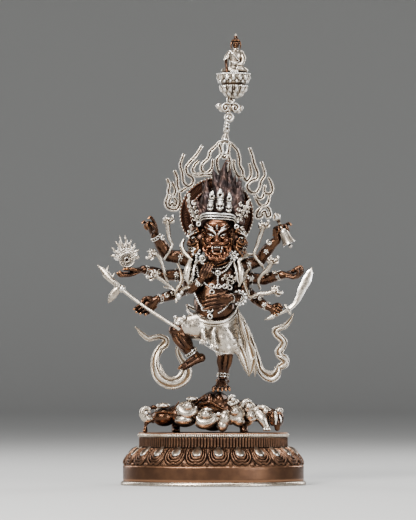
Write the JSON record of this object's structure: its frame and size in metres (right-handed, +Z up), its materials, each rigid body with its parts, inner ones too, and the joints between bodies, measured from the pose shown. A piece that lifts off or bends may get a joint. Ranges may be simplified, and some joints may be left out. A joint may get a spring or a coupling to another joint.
{
  "type": "ucchusma statue",
  "caption": "Cast metal statue of a many-armed wrathful guardian dancing on a cloud-wrapped beast, with flame aureole, scarves and oval lotus plinth.",
  "frame": {"origin": "centre of the plinth's underside, where the statue stands", "axes": "+Z up; the figure faces -Y; +X is to the viewer's right"},
  "size_m": [0.1644, 0.093, 0.345],
  "materials": {
    "copper_patina": "dark brown patina, worn bright on high spots",
    "silver_plate": "silver plate, darkened in the hollows"
  },
  "bodies": {
    "root": {"lotus_plinth": "copper_patina", "cloud_mount": "silver_plate", "guardian": "copper_patina", "mane_disc": "copper_patina", "flame_aureole": "silver_plate", "pinnacle": "silver_plate", "seated_buddha": "silver_plate", "flame_wheel": "silver_plate", "axe_staff": "silver_plate", "hand_bell": "silver_plate", "sword": "silver_plate", "scarf_left": "silver_plate", "scarf_right": "silver_plate"}
  },
  "joints": []
}
